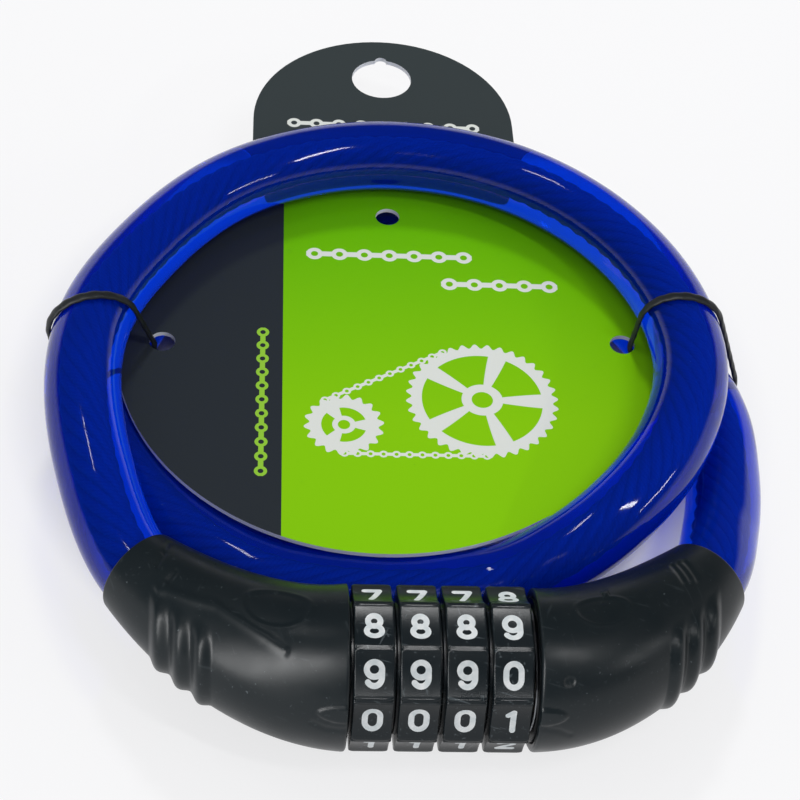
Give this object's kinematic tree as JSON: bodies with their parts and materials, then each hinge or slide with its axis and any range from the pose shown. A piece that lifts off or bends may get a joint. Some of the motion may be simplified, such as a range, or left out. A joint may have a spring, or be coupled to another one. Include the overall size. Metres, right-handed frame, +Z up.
{
  "type": "cable lock",
  "caption": "Bicycle cable lock with numbered dials and a pull-off plug, its see-through cable wound in two turns and tied on a display card with a hang hole.",
  "frame": {"origin": "on the ground, under the middle of the lock, its card and ties", "axes": "+X along the lock's axis towards the plug, +Y from the dials towards the hang hole, +Z up"},
  "size_m": [0.1164, 0.156, 0.0273],
  "materials": {
    "clear_sheath": "clear blue flexible plastic, glossy",
    "steel_rope": "twisted steel strands",
    "black_body": "moulded, satin, finely grained",
    "black_dial": "moulded, half gloss, white numbers",
    "plain_steel": "turned",
    "plated_metal": "nickel plated",
    "spring_steel": "bright spring strip",
    "code_ring": "turned and broached",
    "printed_card": "printed in green and charcoal, laminated",
    "black_tie": "smooth black"
  },
  "bodies": {
    "root": {"cable_sheath": "clear_sheath", "cable_core": "steel_rope", "cable_tail_sheath": "clear_sheath", "cable_tail_core": "steel_rope", "left_sleeve": "black_body", "left_ferrule": "plain_steel", "left_cross_pin": "plain_steel", "lock_barrel": "plated_metal", "detent_spring": "spring_steel", "wave_washer": "spring_steel", "end_cap": "black_body", "retaining_ring": "spring_steel", "display_card": "printed_card", "tie_left": "black_tie", "tie_right": "black_tie"},
    "dial_1": {"dial_1": "black_dial", "code_ring_1": "code_ring"},
    "dial_2": {"dial_2": "black_dial", "code_ring_2": "code_ring"},
    "dial_3": {"dial_3": "black_dial", "code_ring_3": "code_ring"},
    "dial_4": {"dial_4": "black_dial", "code_ring_4": "code_ring"},
    "plug": {"right_sleeve": "black_body", "right_ferrule": "plain_steel", "right_cross_pin": "plain_steel", "locking_pin": "plated_metal"}
  },
  "joints": [
    {"name": "dial_1_turn", "type": "hinge", "parent": "root", "child": "dial_1", "pos_m": [-0.0064, -0.066, 0.012], "axis": [1, 0, 0], "continuous": true},
    {"name": "dial_2_turn", "type": "hinge", "parent": "root", "child": "dial_2", "pos_m": [0.0001, -0.066, 0.012], "axis": [1, 0, 0], "continuous": true},
    {"name": "dial_3_turn", "type": "hinge", "parent": "root", "child": "dial_3", "pos_m": [0.0066, -0.066, 0.012], "axis": [1, 0, 0], "continuous": true},
    {"name": "dial_4_turn", "type": "hinge", "parent": "root", "child": "dial_4", "pos_m": [0.0131, -0.066, 0.012], "axis": [1, 0, 0], "continuous": true},
    {"name": "plug_pull", "type": "slide", "parent": "root", "child": "plug", "axis": [1, 0, 0], "range_m": [0, 0.032], "deforming": ["cable_tail_sheath", "cable_tail_core"]}
  ]
}
